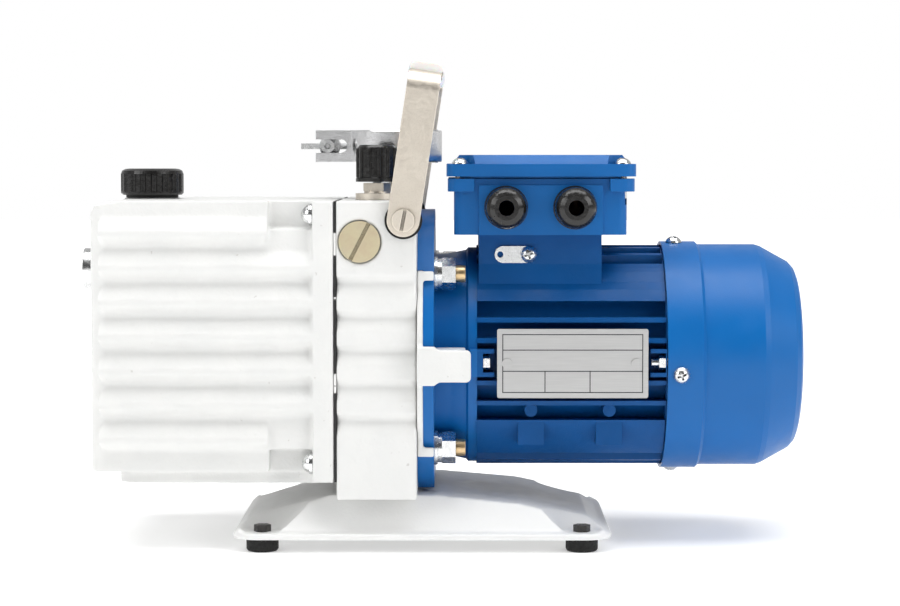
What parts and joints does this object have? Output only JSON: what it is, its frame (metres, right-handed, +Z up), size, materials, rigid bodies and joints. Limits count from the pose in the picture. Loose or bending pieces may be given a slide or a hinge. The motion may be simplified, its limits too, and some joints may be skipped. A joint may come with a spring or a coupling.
{
  "type": "rotary vane vacuum pump",
  "caption": "Oil-sealed two-stage rotary vane vacuum pump: ribbed oil case, pump block with clamped inlet and gas ballast, flange motor, carrying handle and footed base.",
  "frame": {"origin": "on the surface the feet stand on, below the middle of the pump's overall length and width", "axes": "+X along the shaft from the oil case to the motor, +Y towards the side away from the rating plate, +Z up"},
  "size_m": [0.3415, 0.146, 0.2265],
  "materials": {
    "white_paint": "semi-gloss",
    "blue_paint": "semi-gloss",
    "zinc_steel": "bright zinc plate",
    "nickel_steel": "satin nickel plate",
    "polished_aluminium": "polished",
    "plate_aluminium": "fine brushed",
    "black_steel": "black oxide",
    "black_plastic": "gloss",
    "white_plastic": "satin",
    "brown_plastic": "satin",
    "black_rubber": "matt",
    "red_rubber": "matt",
    "clear_glass": "clear",
    "machined_steel": "ground",
    "grey_iron": "machined",
    "core_steel": "stacked sheets",
    "copper_wire": "varnished",
    "brass": "yellow zinc plate",
    "vane_composite": "ground"
  },
  "bodies": {
    "root": {"base_plate": "white_paint", "rubber_feet": "black_rubber", "base_bolts": "black_steel", "pump_block": "white_paint", "oil_case": "white_paint", "case_gasket": "black_rubber", "case_screws": "zinc_steel", "sight_glass_bezel": "zinc_steel", "sight_glass_lens": "clear_glass", "screw_plugs": "nickel_steel", "handle_screws": "nickel_steel", "handle_washers": "black_rubber", "inlet_port": "polished_aluminium", "centring_ring": "polished_aluminium", "inlet_o_ring": "black_rubber", "clamp_front_half": "polished_aluminium", "clamp_rear_half": "polished_aluminium", "clamp_hinge_pin": "zinc_steel", "clamp_bolt": "zinc_steel", "ballast_body": "nickel_steel", "stator_high_stage": "grey_iron", "stator_low_stage": "grey_iron", "stator_plates": "grey_iron", "exhaust_valve": "machined_steel", "shaft_seal": "black_rubber", "side_brackets": "white_paint", "front_shield": "blue_paint", "motor_frame": "blue_paint", "rear_shield": "blue_paint", "stator_core": "core_steel", "windings": "copper_wire", "motor_bearings": "machined_steel", "fan_cowl": "blue_paint", "cover_screws": "zinc_steel", "shield_bolts": "zinc_steel", "flange_studs": "brass", "flange_nuts": "zinc_steel", "terminal_box": "blue_paint", "box_lid": "blue_paint", "terminal_block": "brown_plastic", "cable_glands": "black_plastic", "nameplate": "plate_aluminium", "nameplate_rivets": "plate_aluminium", "earth_lug": "zinc_steel"},
    "drive": {"pump_rotor": "machined_steel", "vanes": "vane_composite", "vane_springs": "machined_steel", "coupling_halves": "machined_steel", "coupling_spider": "red_rubber", "rotor_core": "core_steel", "motor_shaft": "machined_steel", "fan": "black_plastic"},
    "carry_handle": {"handle": "nickel_steel", "handle_grip": "white_plastic"},
    "cap_carrier": {"cap_seal": "black_rubber"},
    "filler_cap": {"oil_cap": "black_plastic"},
    "ballast_valve": {"ballast_stem": "machined_steel"},
    "ballast_hand_knob": {"ballast_knob": "black_plastic"},
    "clamp_nut_seat": {"clamp_washer": "zinc_steel"},
    "clamp_wing_nut": {"wing_nut": "zinc_steel"}
  },
  "joints": [
    {"name": "drive_spin", "type": "hinge", "parent": "root", "child": "drive", "pos_m": [0, 0, 0.0873], "axis": [1, 0, 0], "continuous": true},
    {"name": "handle_swing", "type": "hinge", "parent": "root", "child": "carry_handle", "pos_m": [-0.0154, 0, 0.1535], "axis": [0, 1, 0], "range_deg": [-82.5, 46]},
    {"name": "cap_turn", "type": "hinge", "parent": "cap_carrier", "child": "filler_cap", "pos_m": [-0.1378, 0, 0.17], "axis": [0, 0, 1], "range_deg": [0, 1440]},
    {"name": "cap_rise", "type": "slide", "parent": "root", "child": "cap_carrier", "axis": [0, 0, 1], "range_m": [0, 0.008]},
    {"name": "ballast_turn", "type": "hinge", "parent": "ballast_valve", "child": "ballast_hand_knob", "pos_m": [-0.0284, -0.035, 0.18], "axis": [0, 0, 1], "range_deg": [0, 540]},
    {"name": "ballast_rise", "type": "slide", "parent": "root", "child": "ballast_valve", "axis": [0, 0, 1], "range_m": [0, 0.003]},
    {"name": "wing_nut_turn", "type": "hinge", "parent": "clamp_nut_seat", "child": "clamp_wing_nut", "pos_m": [-0.0527, 0.014, 0.1875], "axis": [0, 1, 0], "range_deg": [0, 1800]},
    {"name": "wing_nut_travel", "type": "slide", "parent": "root", "child": "clamp_nut_seat", "axis": [0, 1, 0], "range_m": [0, 0.004]}
  ],
  "couplings": [
    {"joint": "cap_turn", "follows": "cap_rise", "rad_per_m": 3141.6},
    {"joint": "ballast_turn", "follows": "ballast_rise", "rad_per_m": 3141.6},
    {"joint": "wing_nut_turn", "follows": "wing_nut_travel", "rad_per_m": 7854}
  ]
}
